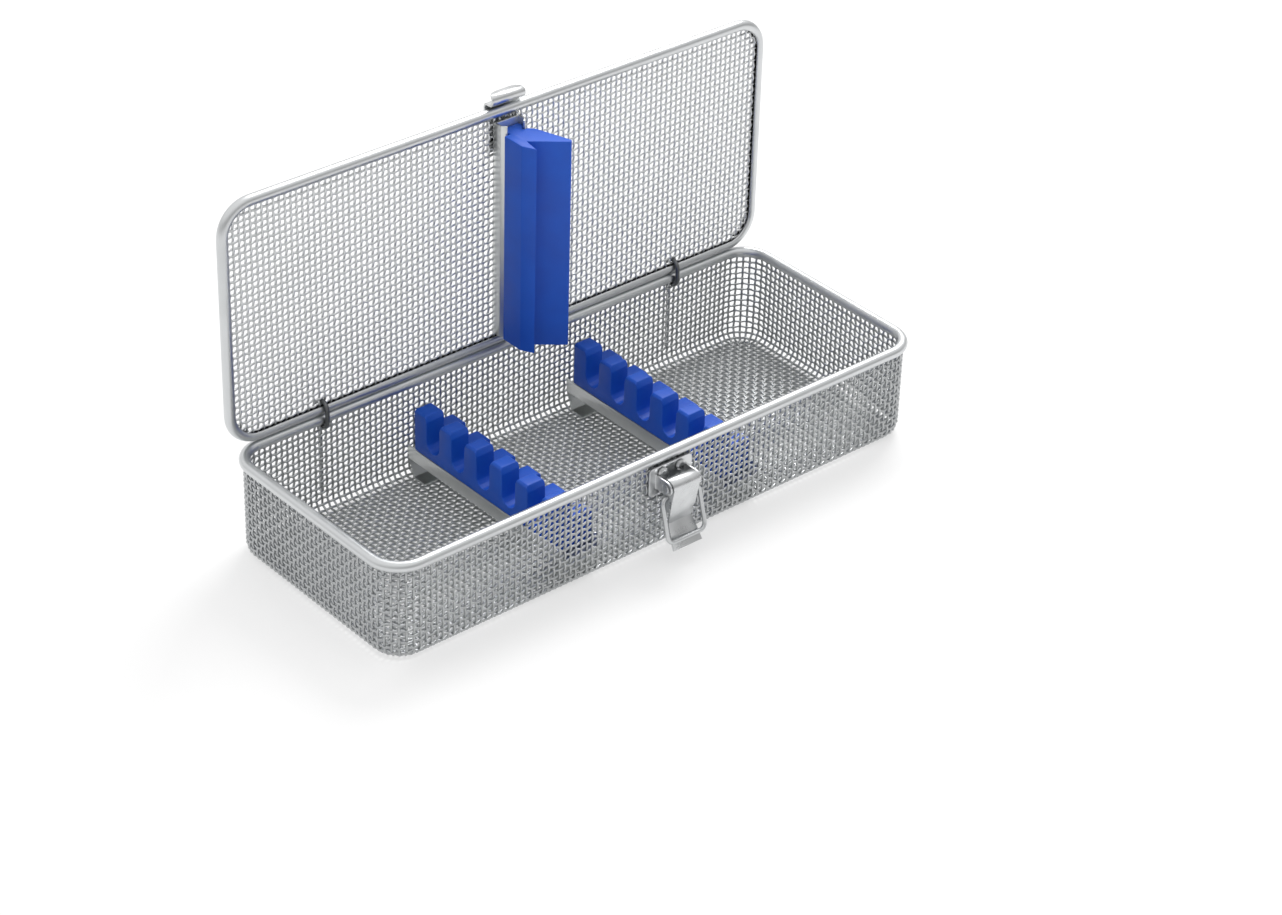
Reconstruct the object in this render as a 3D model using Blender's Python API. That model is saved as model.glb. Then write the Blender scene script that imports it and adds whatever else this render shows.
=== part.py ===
"""Dental instrument cassette: a stainless wire-mesh tray with a hinged mesh lid.

A toggle latch closes the front, two silicone combs stand on raised rails in the tray, and a
silicone hold-down runs under the lid. Everything is in metres. X runs along the tray, the
latch is on the -Y side, +Z is up, and the origin is the middle of the floor's underside.
The lid is drawn shut in its own frame and stands open on its hinge empty, which is the rest pose.
"""

import math

import bmesh
import bpy
from mathutils import Vector

MM = 0.001

# Driving sizes of the whole cassette
overall_length = 300 * MM
overall_depth = 118 * MM
tray_height = 50 * MM
corner_radius = 16.5 * MM
floor_bend_radius = 5.5 * MM
rim_diameter = 5 * MM
clearance = 0.3 * MM
sheet_thickness = 1 * MM
lid_open_angle = math.radians(90)

# Wire mesh, drawn as a coarse net of flat strips
net_thickness = 1.4 * MM
net_strip_width = 2.4 * MM
net_rows = 6
net_columns = 16
wall_columns_long = 14
wall_columns_short = 4
corner_columns = 3
corner_steps = 6
net_cover_in_rim = 2.3 * MM
slot_depth_past_centre = 0.8 * MM
rim_sides = 12

# Places that several pieces share
rim_radius = rim_diameter / 2
wall_x = overall_length / 2 - rim_radius
wall_y = overall_depth / 2 - rim_radius
wall_corner_radius = corner_radius - rim_radius
net_half = net_thickness / 2
net_edge_past_centre = slot_depth_past_centre - clearance
floor_mid_z = net_half
floor_top_z = net_thickness
tray_rim_z = tray_height - rim_radius
lid_axis_y = wall_y
lid_axis_z = tray_rim_z + rim_diameter + clearance
wall_face_y = -wall_y - net_half - clearance
wall_bend_z = floor_mid_z + floor_bend_radius
wall_gap_top_z = tray_rim_z - net_cover_in_rim
wall_middle_z = (wall_gap_top_z + wall_bend_z) / 2

STEEL = ("#C9CCCE", 1.0, 0.28)
BRIGHT_STEEL = ("#DADCDD", 1.0, 0.2)
MESH_STEEL = ("#B9BCBE", 1.0, 0.35)
SILICONE = ("#1E50AA", 0.0, 0.45)


def clear_scene():
    """Remove whatever the file opened with."""
    for old in list(bpy.data.objects):
        bpy.data.objects.remove(old, do_unlink=True)


def linear_channel(value):
    """One sRGB channel, 0 to 1, as a linear value."""
    return value / 12.92 if value <= 0.04045 else ((value + 0.055) / 1.055) ** 2.4


def give_finish(piece, finish):
    """A Principled material of the piece's own."""
    colour, metallic, roughness = finish
    channels = [int(colour[i:i + 2], 16) / 255 for i in (1, 3, 5)]
    material = bpy.data.materials.new(piece.name)
    material.use_nodes = True
    shader = material.node_tree.nodes["Principled BSDF"]
    shader.inputs["Base Color"].default_value = [linear_channel(c) for c in channels] + [1]
    shader.inputs["Metallic"].default_value = metallic
    shader.inputs["Roughness"].default_value = roughness
    piece.data.materials.append(material)


def add_piece(name, data, finish, parent=None):
    """Link one named piece, with its finish, under its parent."""
    piece = bpy.data.objects.new(name, data)
    bpy.context.scene.collection.objects.link(piece)
    piece.parent = parent
    give_finish(piece, finish)
    return piece


def add_cutter(name, mesh, parent=None):
    """Link a guide shape that only shapes other pieces."""
    cutter = bpy.data.objects.new(name, mesh)
    bpy.context.scene.collection.objects.link(cutter)
    cutter.parent = parent
    cutter.hide_render = True
    cutter.display_type = "WIRE"
    return cutter


def cut(piece, cutter, operation="DIFFERENCE"):
    """Add a Boolean to a piece."""
    boolean = piece.modifiers.new(operation.title(), "BOOLEAN")
    boolean.operation = operation
    boolean.object = cutter
    boolean.solver = "EXACT"


def thicken(piece, thickness):
    """Give a drawn sheet its thickness, half to each side."""
    solidify = piece.modifiers.new("Sheet", "SOLIDIFY")
    solidify.thickness = thickness
    solidify.offset = 0
    solidify.use_even_offset = True


def mesh_of(name, build, smooth_angle=40):
    """Run a bmesh builder and return the mesh, faces outward, sharp past an angle."""
    shape = bmesh.new()
    build(shape)
    bmesh.ops.recalc_face_normals(shape, faces=shape.faces)
    mesh = bpy.data.meshes.new(name)
    shape.to_mesh(mesh)
    shape.free()
    mesh.shade_smooth()
    mesh.set_sharp_from_angle(angle=math.radians(smooth_angle))
    return mesh


def prism_mesh(name, outline, place, low, high):
    """An outline of (a, b) points drawn out from low to high; place(a, b, h) gives a point."""
    def build(shape):
        near = [shape.verts.new(place(a, b, low)) for a, b in outline]
        far = [shape.verts.new(place(a, b, high)) for a, b in outline]
        shape.faces.new(near)
        shape.faces.new(far)
        for i in range(len(outline)):
            j = (i + 1) % len(outline)
            shape.faces.new((near[i], near[j], far[j], far[i]))
    return mesh_of(name, build)


def across_x(a, b, h):
    """Outline in Y and Z, drawn out along X."""
    return (h, a, b)


def across_y(a, b, h):
    """Outline in X and Z, drawn out along Y."""
    return (a, h, b)


def arc(centre, radius, start, end, steps):
    """Points on an arc, angles in degrees, both ends included."""
    points = []
    for step in range(steps + 1):
        angle = math.radians(start + (end - start) * step / steps)
        points.append((centre[0] + radius * math.cos(angle), centre[1] + radius * math.sin(angle)))
    return points


def rounded_rectangle(half_x, half_y, radius, steps):
    """Stations round a rounded rectangle: place and outward normal, anticlockwise."""
    stations = []
    for quarter, (sign_x, sign_y) in enumerate(((1, 1), (-1, 1), (-1, -1), (1, -1))):
        centre = (sign_x * (half_x - radius), sign_y * (half_y - radius))
        for x, y in arc((0, 0), 1, quarter * 90, quarter * 90 + 90, steps):
            stations.append((centre[0] + radius * x, centre[1] + radius * y, x, y))
    return stations


def disc_cutter(name, centre_y, centre_z, radius, half_width, parent, sides=20):
    """A round cutter lying along X."""
    outline = arc((centre_y, centre_z), radius, 0, 360 - 360 / sides, sides - 1)
    return add_cutter(name, prism_mesh(name, outline, across_x, -half_width, half_width), parent)


def rounded_path(corners, radius, steps):
    """A polyline in 3-D with each inner corner turned on an arc of the given radius."""
    points = [Vector(c) for c in corners]
    path = [points[0]]
    for before, corner, after in zip(points, points[1:], points[2:]):
        way_in = (before - corner).normalized()
        way_out = (after - corner).normalized()
        half = way_in.angle(way_out) / 2
        setback = radius / math.tan(half)
        centre = corner + (way_in + way_out).normalized() * radius / math.sin(half)
        first = (corner + way_in * setback - centre).normalized()
        last = (corner + way_out * setback - centre).normalized()
        for step in range(steps + 1):
            path.append(centre + first.slerp(last, step / steps) * radius)
    path.append(points[-1])
    return path


def wire_curve(name, path, diameter, resolution=2):
    """A round wire along a path, with closed ends."""
    curve = bpy.data.curves.new(name, "CURVE")
    curve.dimensions = "3D"
    curve.bevel_depth = diameter / 2
    curve.bevel_resolution = resolution
    curve.use_fill_caps = True
    spline = curve.splines.new("POLY")
    spline.points.add(len(path) - 1)
    for point, place in zip(spline.points, path):
        point.co = (place[0], place[1], place[2], 1)
    return curve


# Rims: a bright steel band rolled round the cut edge of the mesh, open on the mesh side
def rim_profile(slot_turn):
    """Section of a rim with its slot, turned so the slot opens as asked; (out, up) points."""
    slot_half = net_half + clearance
    lip = math.degrees(math.asin(slot_half / rim_radius))
    section = arc((0, 0), rim_radius, lip, 360 - lip, rim_sides)
    section += [(-slot_depth_past_centre, -slot_half), (-slot_depth_past_centre, slot_half)]
    turn = math.radians(slot_turn)
    return [(x * math.cos(turn) - y * math.sin(turn), x * math.sin(turn) + y * math.cos(turn))
            for x, y in section]


def rim_mesh(name, profile, centre_y, centre_z):
    """Sweep a rim section round the tray's plan."""
    stations = rounded_rectangle(wall_x, wall_y, wall_corner_radius, corner_steps)

    def build(shape):
        rings = [[shape.verts.new((x + nx * out, y + ny * out - centre_y, up + centre_z))
                  for out, up in profile] for x, y, nx, ny in stations]
        for ring, following in zip(rings, rings[1:] + rings[:1]):
            for i in range(len(profile)):
                j = (i + 1) % len(profile)
                shape.faces.new((ring[i], ring[j], following[j], following[i]))
    return mesh_of(name, build)


# Flat nets of the floor and the lid: an outline with a grid of gaps
def add_loop(curve, points):
    """One closed outline in a flat curve."""
    spline = curve.splines.new("POLY")
    spline.points.add(len(points) - 1)
    for point, (x, y) in zip(spline.points, points):
        point.co = (x, y, 0, 1)
    spline.use_cyclic_u = True


def gap_outline(low, high, outer, radius):
    """A rectangular gap whose corner in the net's rounded corner follows that curve."""
    points = []
    for quarter, (i, j) in enumerate(((1, 1), (0, 1), (0, 0), (1, 0))):
        x = (low[0], high[0])[i]
        y = (low[1], high[1])[j]
        if abs(abs(x) - outer[0]) < clearance and abs(abs(y) - outer[1]) < clearance:
            turn = min(radius, high[0] - low[0] - clearance, high[1] - low[1] - clearance)
            centre = (x - math.copysign(turn, x), y - math.copysign(turn, y))
            points += arc(centre, turn, quarter * 90, quarter * 90 + 90, corner_columns)
        else:
            points.append((x, y))
    return points


def flat_net(name, half_x, half_y, radius, border, offset_y=0.0):
    """A flat net with a border, thickness half to each side of its plane."""
    curve = bpy.data.curves.new(name, "CURVE")
    curve.dimensions = "2D"
    curve.fill_mode = "BOTH"
    curve.extrude = net_half
    outline = [(x, y) for x, y, nx, ny in rounded_rectangle(half_x, half_y, radius, corner_steps)]
    add_loop(curve, [(x, y + offset_y) for x, y in outline])
    inner = (half_x - border, half_y - border)
    pitch_x = 2 * half_x / net_columns
    pitch_y = 2 * half_y / net_rows
    strip = net_strip_width / 2
    for column in range(net_columns):
        for row in range(net_rows):
            low = (max(-half_x + column * pitch_x + strip, -inner[0]),
                   max(-half_y + row * pitch_y + strip, -inner[1]))
            high = (min(-half_x + (column + 1) * pitch_x - strip, inner[0]),
                    min(-half_y + (row + 1) * pitch_y - strip, inner[1]))
            loop = gap_outline(low, high, inner, radius - border)
            add_loop(curve, [(x, y + offset_y) for x, y in loop])
    return curve


# Side wall of the tray: the same mesh, turned under to meet the floor
def wall_lines():
    """Stations round the wall as (x, y, nx, ny, starts_gap), strips standing between gaps."""
    lines = []
    half_strip = net_strip_width / 2
    long_run = 2 * (wall_x - wall_corner_radius)
    short_run = 2 * (wall_y - wall_corner_radius)
    turn = math.degrees(half_strip / wall_corner_radius)
    corner_pitch = 90 / corner_columns
    for quarter, (sign_x, sign_y) in enumerate(((1, 1), (-1, 1), (-1, -1), (1, -1))):
        centre = (sign_x * (wall_x - wall_corner_radius), sign_y * (wall_y - wall_corner_radius))
        for column in range(corner_columns):
            start = quarter * 90 + column * corner_pitch
            for angle, gap in ((start + turn, True), (start + corner_pitch / 2, True),
                               (start + corner_pitch - turn, False)):
                nx, ny = math.cos(math.radians(angle)), math.sin(math.radians(angle))
                lines.append((centre[0] + wall_corner_radius * nx,
                              centre[1] + wall_corner_radius * ny, nx, ny, gap))
        nx, ny = round(-math.sin(quarter * math.pi / 2)), round(math.cos(quarter * math.pi / 2))
        along = (-ny, nx)
        run = long_run if ny else short_run
        count = wall_columns_long if ny else wall_columns_short
        start = (centre[0] + wall_corner_radius * nx, centre[1] + wall_corner_radius * ny)
        for column in range(count):
            for shift, gap in ((column * run / count + half_strip, True),
                               ((column + 1) * run / count - half_strip, False)):
                lines.append((start[0] + along[0] * shift, start[1] + along[1] * shift,
                              nx, ny, gap))
    return lines


def wall_levels():
    """Levels down the wall as (inset, z, starts_gap), round the bend to the floor."""
    half_strip = net_strip_width / 2
    levels = [(0, tray_rim_z + net_edge_past_centre, False), (0, wall_gap_top_z, True),
              (0, wall_middle_z + half_strip, False), (0, wall_middle_z - half_strip, True)]
    border = math.degrees(net_strip_width / floor_bend_radius)
    for angle in (0, 30, 90 - border):
        inset = floor_bend_radius * (1 - math.cos(math.radians(angle)))
        z = wall_bend_z - floor_bend_radius * math.sin(math.radians(angle))
        levels.append((inset, z, angle < 90 - border))
    levels.append((floor_bend_radius, floor_mid_z, False))
    return levels


def wall_net_mesh(name):
    """The wall's strips as one open surface."""
    lines = wall_lines()
    levels = wall_levels()

    def build(shape):
        grid = [[shape.verts.new((x - nx * inset, y - ny * inset, z)) for inset, z, gap in levels]
                for x, y, nx, ny, line_gap in lines]
        for i, column in enumerate(grid):
            following = grid[(i + 1) % len(grid)]
            for j in range(len(levels) - 1):
                if lines[i][4] and levels[j][2]:
                    continue
                shape.faces.new((column[j], column[j + 1], following[j + 1], following[j]))
        loose = [vertex for vertex in shape.verts if not vertex.link_faces]
        bmesh.ops.delete(shape, geom=loose, context="VERTS")
    return mesh_of(name, build)


def build_tray():
    """Mesh wall, mesh floor and rim."""
    wall = add_piece("tray_wall_mesh", wall_net_mesh("tray_wall_mesh"), MESH_STEEL)
    thicken(wall, net_thickness)
    inset = floor_bend_radius + clearance
    floor = flat_net("tray_floor_mesh", wall_x - inset, wall_y - inset,
                     wall_corner_radius - inset, net_strip_width)
    add_piece("tray_floor_mesh", floor, MESH_STEEL).location.z = floor_mid_z
    rim = rim_mesh("tray_rim", rim_profile(-90), 0, tray_rim_z)
    add_piece("tray_rim", rim, BRIGHT_STEEL)


# Hinge loops: bent wire round both rims, with a tail lying down the back wall
hinge_place_share = 2 / 3
hinge_wire_diameter = 2 * MM
hinge_tail_foot_z = 9 * MM
hinge_tail_jog_drop = 6 * MM
hinge_arc_steps = 8


def hinge_path(x):
    """The wire's route, from the foot of its tail over the lid rim and under the tray rim."""
    reach = rim_radius + clearance + hinge_wire_diameter / 2
    tail_y = wall_y + net_half + clearance + hinge_wire_diameter / 2
    jog_top = tray_rim_z - rim_radius
    path = [(tail_y, hinge_tail_foot_z), (tail_y, jog_top - hinge_tail_jog_drop),
            (lid_axis_y + reach, jog_top)]
    path += arc((lid_axis_y, lid_axis_z), reach, 0, 180, hinge_arc_steps)
    path += arc((wall_y, tray_rim_z), reach, 180, 275, hinge_arc_steps // 2)
    return [(x, y, z) for y, z in path]


def build_hinges():
    """The two hinge loops."""
    place = hinge_place_share * overall_length / 2
    for name, x in (("hinge_loop_left", -place), ("hinge_loop_right", place)):
        add_piece(name, wire_curve(name, hinge_path(x), hinge_wire_diameter), STEEL)


# Latch: a pressed base plate with two ears, a lever on a pin, and a wire bail on the lever
latch_plate_width = 24 * MM
latch_plate_height = 14 * MM
latch_plate_top_gap = 1 * MM
latch_plate_corner = 2 * MM
latch_pivot_drop = 7 * MM
latch_pivot_standoff = 6.5 * MM
latch_pin_diameter = 2.4 * MM
latch_pin_head_diameter = 4.4 * MM
latch_pin_head_height = 0.5 * MM
ear_radius = 3.4 * MM
rivet_diameter = 3 * MM
rivet_head_diameter = 5 * MM
rivet_head_height = 1.1 * MM
head_crown_share = 0.7
rivet_spacing = 10 * MM
rivet_height_spacing = 7.5 * MM
lever_width = 14.6 * MM
bail_pivot_drop = 5 * MM
bail_pivot_inset = 0.6 * MM
bail_wire_diameter = 2 * MM
bail_inner_width = 19 * MM
bail_corner_radius = 3 * MM
bail_end_cover = 0.8 * MM
bail_rest_angle = math.radians(16)

latch_plate_top_z = tray_height - rim_diameter - latch_plate_top_gap
latch_plate_bottom_z = latch_plate_top_z - latch_plate_height
latch_pivot_z = latch_plate_top_z - latch_pivot_drop
latch_pivot_y = -overall_depth / 2 - latch_pivot_standoff
bail_pivot_y = latch_pivot_y + bail_pivot_inset
bail_pivot_z = latch_pivot_z - bail_pivot_drop
plate_front_y = wall_face_y - sheet_thickness
backing_back_y = -wall_y + net_half + clearance
backing_front_y = backing_back_y + sheet_thickness
ear_inner_x = lever_width / 2 + clearance
ear_outer_x = ear_inner_x + sheet_thickness
overrun = 1 * MM


def plate_outline(half_width, low, high, corner, steps=4):
    """A rounded plate outline in X and Z."""
    middle = (low + high) / 2
    return [(x, z + middle) for x, z, nx, nz in
            rounded_rectangle(half_width, (high - low) / 2, corner, steps)]


def rivet_holes(name):
    """Round cutters along Y at each rivet."""
    radius = rivet_diameter / 2 + clearance

    def build(shape):
        for x, z in rivet_places():
            ring = [shape.verts.new((x + a, plate_front_y - overrun, z + b))
                    for a, b in arc((0, 0), radius, 0, 337.5, 15)]
            face = shape.faces.new(ring)
            grown = bmesh.ops.extrude_face_region(shape, geom=[face], use_keep_orig=True)
            for vertex in grown["geom"]:
                if isinstance(vertex, bmesh.types.BMVert):
                    vertex.co.y = backing_front_y + overrun
    return mesh_of(name, build)


def rivet_places():
    """Where the rivets go through the plate, as (x, z)."""
    middle = (latch_plate_top_z + latch_plate_bottom_z) / 2
    return [(side * rivet_spacing / 2, middle + level * rivet_height_spacing / 2)
            for side in (-1, 1) for level in (-1, 1)]


def ear_outline():
    """Side view of an ear in Y and Z, round at the pin."""
    back = wall_face_y - sheet_thickness / 2
    nose = arc((latch_pivot_y, latch_pivot_z), ear_radius, 270, 90, 8)
    return [(back, latch_pivot_z - ear_radius)] + nose + [(back, latch_pivot_z + ear_radius)]


def turned_mesh(name, profile, place, centre, sides=16):
    """A round solid from (along, radius) points; place(along, a, b) gives a point."""
    def build(shape):
        rings = []
        for along, radius in profile:
            ring = arc(centre, radius, 0, 360 - 360 / sides, sides - 1)
            rings.append([shape.verts.new(place(along, a, b)) for a, b in ring])
        for ring, following in zip(rings, rings[1:]):
            for i in range(sides):
                j = (i + 1) % sides
                shape.faces.new((ring[i], ring[j], following[j], following[i]))
        shape.faces.new(rings[0])
        shape.faces.new(rings[-1])
    return mesh_of(name, build)


def headed_profile(low, high, shank, head, height):
    """A shank from low to high with a domed head beyond each end."""
    top = head * head_crown_share
    return [(low - height, top / 2), (low - height / 2, head / 2), (low, head / 2),
            (low, shank / 2), (high, shank / 2), (high, head / 2),
            (high + height / 2, head / 2), (high + height, top / 2)]


def build_latch_base():
    """Plate with ears, backing plate inside the mesh, rivets and the pivot pin."""
    holes = add_cutter("rivet_hole_guide", rivet_holes("rivet_hole_guide"))
    outline = plate_outline(latch_plate_width / 2, latch_plate_bottom_z, latch_plate_top_z,
                            latch_plate_corner)
    plate = add_piece("latch_base_plate", prism_mesh("latch_base_plate", outline, across_y,
                                                     plate_front_y, wall_face_y), STEEL)
    for side, low in (("left", -ear_outer_x), ("right", ear_inner_x)):
        guide = "ear_%s_guide" % side
        ear = prism_mesh(guide, ear_outline(), across_x, low, low + sheet_thickness)
        cut(plate, add_cutter(guide, ear), "UNION")
    cut(plate, holes)
    cut(plate, disc_cutter("ear_hole_guide", latch_pivot_y, latch_pivot_z,
                           latch_pin_diameter / 2 + clearance, ear_outer_x + overrun, None))
    backing = add_piece("latch_backing_plate", prism_mesh("latch_backing_plate", outline, across_y,
                                                          backing_back_y, backing_front_y), STEEL)
    cut(backing, holes)
    rivets = headed_profile(plate_front_y - clearance, backing_front_y + clearance,
                            rivet_diameter, rivet_head_diameter, rivet_head_height)
    for number, place in enumerate(rivet_places(), 1):
        rivet_name = "latch_rivet_%d" % number
        rivet = turned_mesh(rivet_name, rivets, lambda y, x, z: (x, y, z), place, 12)
        add_piece(rivet_name, rivet, STEEL)
    pin_reach = ear_outer_x + clearance
    pin = headed_profile(-pin_reach, pin_reach, latch_pin_diameter, latch_pin_head_diameter,
                         latch_pin_head_height)
    add_piece("latch_pivot_pin", turned_mesh("latch_pivot_pin", pin, lambda x, y, z: (x, y, z),
                                             (latch_pivot_y, latch_pivot_z)), BRIGHT_STEEL)


# Lever: one pressing, a head rolled over the pin, a face that leans to the wall, two side
# cheeks, a waist and a turned-out thumb lip
lever_head_radius = 3.4 * MM
lever_head_wrap = 150
lever_head_steps = 6
lever_lean = math.radians(12)
lever_cheek_depth = 3.2 * MM
lever_cheek_end = 12.6 * MM
lever_waist_drop = 19 * MM
lever_waist_width = 12.6 * MM
lever_lip_drop = 22 * MM
lever_lip_width = 16 * MM
lever_end_drop = 29.5 * MM
lever_lip_offset = 5.6 * MM


def lever_rows():
    """Rows down the lever as (drop, outward offset, half width) of the sheet's middle."""
    half = (lever_width - sheet_thickness) / 2
    waist_half = lever_waist_width / 2
    lip_half = lever_lip_width / 2

    def face(drop):
        return lever_head_radius - drop * math.tan(lever_lean)

    rows = [(-up, out, half) for out, up in
            arc((0, 0), lever_head_radius, lever_head_wrap, 0, lever_head_steps)]
    waist = face(lever_waist_drop)
    lip_share = (lever_lip_drop - lever_waist_drop) / (lever_end_drop - lever_waist_drop)
    return rows + [
        (lever_cheek_end, face(lever_cheek_end), half),
        (lever_waist_drop, waist, waist_half),
        (lever_lip_drop, waist + (lever_lip_offset - waist) * lip_share, (waist_half + lip_half) / 2),
        (lever_end_drop, lever_lip_offset, lip_half)]


def lever_mesh(name):
    """The lever's sheet, face and cheeks, about its pivot."""
    rows = lever_rows()

    def build(shape):
        left = [shape.verts.new((-half, -offset, -drop)) for drop, offset, half in rows]
        right = [shape.verts.new((half, -offset, -drop)) for drop, offset, half in rows]
        for i in range(len(rows) - 1):
            shape.faces.new((left[i], left[i + 1], right[i + 1], right[i]))
        for side in (left, right):
            outer = side[:lever_head_steps + 2]
            deep = shape.verts.new((outer[0].co.x, lever_cheek_depth, outer[-1].co.z))
            shape.faces.new(outer + [deep])
    return mesh_of(name, build, 50)


def build_lever(pivot):
    """Lever on its pivot empty, with holes for the pin and the bail."""
    lever = add_piece("latch_lever", lever_mesh("latch_lever"), BRIGHT_STEEL, pivot)
    thicken(lever, sheet_thickness)
    half = lever_width / 2 + overrun
    cut(lever, disc_cutter("lever_pin_hole_guide", 0, 0,
                           latch_pin_diameter / 2 + clearance, half, pivot))
    cut(lever, disc_cutter("lever_bail_hole_guide", bail_pivot_inset, -bail_pivot_drop,
                           bail_wire_diameter / 2 + clearance, half, pivot))


def build_bail(pivot):
    """Wire bail in the lever's cheeks, resting on the front of the lever's lip."""
    leg_x = (bail_inner_width + bail_wire_diameter) / 2
    tip_x = lever_width / 2 - sheet_thickness - bail_end_cover
    bar_y = -bail_length * math.sin(bail_rest_angle)
    bar_z = -bail_length * math.cos(bail_rest_angle)
    corners = [(tip_x, 0, 0), (leg_x, 0, 0), (leg_x, bar_y, bar_z),
               (-leg_x, bar_y, bar_z), (-leg_x, 0, 0), (-tip_x, 0, 0)]
    path = rounded_path(corners, bail_corner_radius, 5)
    add_piece("latch_bail", wire_curve("latch_bail", path, bail_wire_diameter), BRIGHT_STEEL, pivot)


# Catch plate: a strip over the lid's front rim that ends in an upturned hook for the bail
catch_width = 18 * MM
catch_depth = 22 * MM
catch_rise = 3 * MM
catch_front_gap = 1.2 * MM
hook_radius = 2.2 * MM
hook_lip_height = 2.4 * MM
hook_steps = 6
hook_corner = 5 * MM
hook_corner_steps = 4
catch_bend = 1.6 * MM

half_sheet = sheet_thickness / 2
catch_low = net_half + clearance + half_sheet
catch_high = rim_radius + clearance + half_sheet
rim_front_y = -2 * wall_y
hook_inner_y = rim_front_y - rim_radius - catch_front_gap - half_sheet
hook_centre_y = hook_inner_y - hook_radius
hook_centre_z = -clearance
bail_bar_dy = lid_axis_y + hook_centre_y - bail_pivot_y
bail_bar_dz = lid_axis_z + hook_centre_z - bail_pivot_z
bail_length = math.hypot(bail_bar_dy, bail_bar_dz)


def catch_profile():
    """Side view of the catch plate's middle line in the lid's frame, back to hook tip."""
    flat_front = rim_front_y + rim_radius + catch_rise
    rise_end = rim_front_y + rim_radius
    profile = [(rim_front_y - rim_radius + catch_depth, catch_low), (flat_front, catch_low),
               (rise_end, catch_high)]
    profile += arc((hook_inner_y + catch_bend, catch_high - catch_bend), catch_bend, 90, 180, 4)
    profile += arc((hook_centre_y, hook_centre_z), hook_radius, 0, -180, hook_steps)
    lip_y = hook_centre_y - hook_radius
    profile += [(lip_y, hook_centre_z + hook_lip_height * i / hook_corner_steps)
                for i in range(1, hook_corner_steps + 1)]
    return profile


def catch_half_widths(profile):
    """Half the catch plate's width at each profile point, rounded off towards the hook's tip."""
    left_over = 0
    halves = [catch_width / 2 - hook_corner]
    for here, back in zip(profile[:0:-1], profile[-2::-1]):
        left_over += math.dist(here, back)
        inside = max(0, hook_corner - left_over)
        halves.append(catch_width / 2 - hook_corner + math.sqrt(hook_corner ** 2 - inside ** 2))
    return halves[::-1]


def strip_mesh(name, profile, half_widths):
    """A sheet strip bent along a profile in Y and Z, with half its width at each point."""
    def build(shape):
        left = [shape.verts.new((-half, y, z)) for half, (y, z) in zip(half_widths, profile)]
        right = [shape.verts.new((half, y, z)) for half, (y, z) in zip(half_widths, profile)]
        for i in range(len(profile) - 1):
            shape.faces.new((left[i], right[i], right[i + 1], left[i + 1]))
    return mesh_of(name, build, 60)


# Hold-down: a steel channel under the lid that grips a silicone strip with two lips
channel_width = 14 * MM
channel_height = 8 * MM
channel_end_gap = 4 * MM
hold_down_back_gap = 4 * MM
hold_down_front_gap = 7.5 * MM
channel_lip = 2 * MM
straight_lip_reach = 18.2 * MM
straight_lip_side = 12 * MM
straight_lip_tip = 3.4 * MM
splayed_lip_reach = 21.5 * MM
splayed_lip_spread = 21 * MM
splayed_lip_tip = 2 * MM
splayed_lip_root = 2.6 * MM
valley_reach = 9.7 * MM
valley_spread = 4.8 * MM


def channel_mesh(name):
    """The channel's sheet in the lid's frame, open downwards between two turned-in lips."""
    top = -net_half - clearance - half_sheet
    half = channel_width / 2 - half_sheet
    mouth = -channel_height + half_sheet
    section = [(-half + channel_lip, mouth), (-half, mouth + channel_lip), (-half, top),
               (half, top), (half, mouth + channel_lip), (half - channel_lip, mouth)]

    def build(shape):
        near = [shape.verts.new((x, -channel_end_gap, z)) for x, z in section]
        far = [shape.verts.new((x, rim_front_y + channel_end_gap, z)) for x, z in section]
        for i in range(len(section) - 1):
            shape.faces.new((near[i], near[i + 1], far[i + 1], far[i]))
    return mesh_of(name, build)


def hold_down_outline():
    """Section of the silicone: a foot in the channel, a short straight lip and a splayed lip."""
    foot_half = channel_width / 2 - sheet_thickness - clearance
    foot_top = -net_half - 2 * clearance - sheet_thickness
    neck_half = foot_half - channel_lip
    mouth = -channel_height - clearance
    left = -channel_width / 2
    right = left + splayed_lip_spread
    slope = splayed_lip_tip / math.sqrt(2)
    lip_room = sheet_thickness + channel_lip
    return [(-foot_half, foot_top), (-foot_half, mouth + lip_room), (-neck_half, mouth + sheet_thickness),
            (-neck_half, mouth), (left, mouth),
            (left, mouth - straight_lip_side), (left + straight_lip_tip, mouth - straight_lip_reach),
            (left + valley_spread, mouth - valley_reach),
            (right - slope, mouth - splayed_lip_reach), (right, mouth - splayed_lip_reach + slope),
            (foot_half + splayed_lip_root, mouth - splayed_lip_root), (foot_half, mouth),
            (neck_half, mouth), (neck_half, mouth + sheet_thickness), (foot_half, mouth + lip_room),
            (foot_half, foot_top)]


def build_lid(pivot):
    """Mesh, rim, catch plate and hold-down, all in the lid's closed frame."""
    half_x = wall_x + net_edge_past_centre
    half_y = wall_y + net_edge_past_centre
    radius = wall_corner_radius + net_edge_past_centre
    border = net_edge_past_centre + net_cover_in_rim
    net = flat_net("lid_mesh", half_x, half_y, radius, border, -wall_y)
    add_piece("lid_mesh", net, MESH_STEEL, pivot)
    rim = rim_mesh("lid_rim", [(-out, up) for out, up in rim_profile(0)], wall_y, 0)
    add_piece("lid_rim", rim, BRIGHT_STEEL, pivot)
    profile = catch_profile()
    catch = add_piece("catch_plate", strip_mesh("catch_plate", profile, catch_half_widths(profile)),
                      BRIGHT_STEEL, pivot)
    thicken(catch, sheet_thickness)
    channel = add_piece("hold_down_channel", channel_mesh("hold_down_channel"), STEEL, pivot)
    thicken(channel, sheet_thickness)
    strip = prism_mesh("hold_down_silicone", hold_down_outline(), across_y,
                       rim_front_y + hold_down_front_gap, -hold_down_back_gap)
    add_piece("hold_down_silicone", strip, SILICONE, pivot)


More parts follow.
